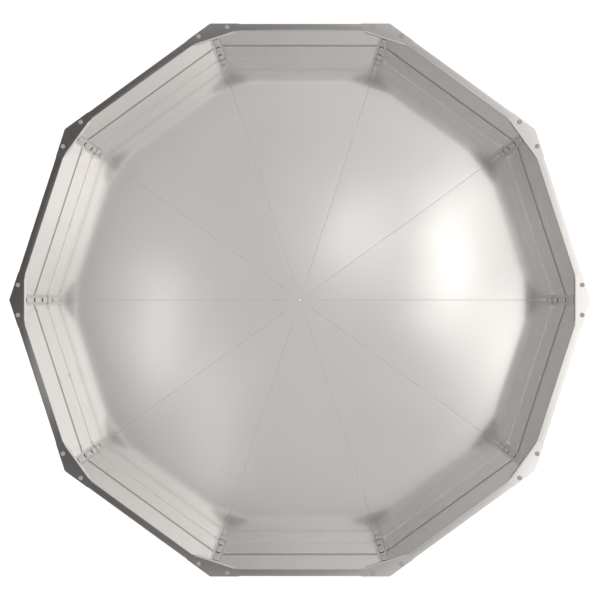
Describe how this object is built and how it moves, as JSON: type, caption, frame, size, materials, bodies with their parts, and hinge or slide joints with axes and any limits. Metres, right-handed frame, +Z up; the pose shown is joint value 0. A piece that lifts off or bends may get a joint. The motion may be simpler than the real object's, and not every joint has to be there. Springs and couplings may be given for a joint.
{
  "type": "sheet steel basin",
  "caption": "Open many-sided basin of folded satin sheet steel, with a flat floor of radial sheets, riveted rim gussets and bolted corner strips.",
  "frame": {"origin": "on the ground, at the middle of the footprint", "axes": "+Z up, out of the open top; two opposite corners of the rim lie on +X and -X, and the middles of two sides on +Y and -Y"},
  "size_m": [1.2, 1.1412, 0.2285],
  "materials": {
    "wall_steel": "satin, fine horizontal grain, soft reflections",
    "floor_steel": "satin with a low sheen, mirrors the walls softly",
    "strip_steel": "satin",
    "gusset_steel": "satin, fine grain along the chamfer",
    "rivet_steel": "bright domed heads"
  },
  "bodies": {
    "root": {"wall_panel_1": "wall_steel", "wall_panel_2": "wall_steel", "wall_panel_3": "wall_steel", "wall_panel_4": "wall_steel", "wall_panel_5": "wall_steel", "wall_panel_6": "wall_steel", "wall_panel_7": "wall_steel", "wall_panel_8": "wall_steel", "wall_panel_9": "wall_steel", "wall_panel_10": "wall_steel", "floor_petal_1": "floor_steel", "floor_petal_2": "floor_steel", "floor_petal_3": "floor_steel", "floor_petal_4": "floor_steel", "floor_petal_5": "floor_steel", "floor_petal_6": "floor_steel", "floor_petal_7": "floor_steel", "floor_petal_8": "floor_steel", "floor_petal_9": "floor_steel", "floor_petal_10": "floor_steel", "corner_strip_1": "strip_steel", "corner_strip_2": "strip_steel", "corner_strip_3": "strip_steel", "corner_strip_4": "strip_steel", "corner_strip_5": "strip_steel", "corner_strip_6": "strip_steel", "corner_strip_7": "strip_steel", "corner_strip_8": "strip_steel", "corner_strip_9": "strip_steel", "corner_strip_10": "strip_steel", "corner_backing_1": "strip_steel", "corner_backing_2": "strip_steel", "corner_backing_3": "strip_steel", "corner_backing_4": "strip_steel", "corner_backing_5": "strip_steel", "corner_backing_6": "strip_steel", "corner_backing_7": "strip_steel", "corner_backing_8": "strip_steel", "corner_backing_9": "strip_steel", "corner_backing_10": "strip_steel", "rim_gusset_1": "gusset_steel", "rim_gusset_2": "gusset_steel", "rim_gusset_3": "gusset_steel", "rim_gusset_4": "gusset_steel", "rim_gusset_5": "gusset_steel", "rim_gusset_6": "gusset_steel", "rim_gusset_7": "gusset_steel", "rim_gusset_8": "gusset_steel", "rim_gusset_9": "gusset_steel", "rim_gusset_10": "gusset_steel", "hub_plate": "strip_steel", "hub_rivet": "rivet_steel"}
  },
  "joints": []
}
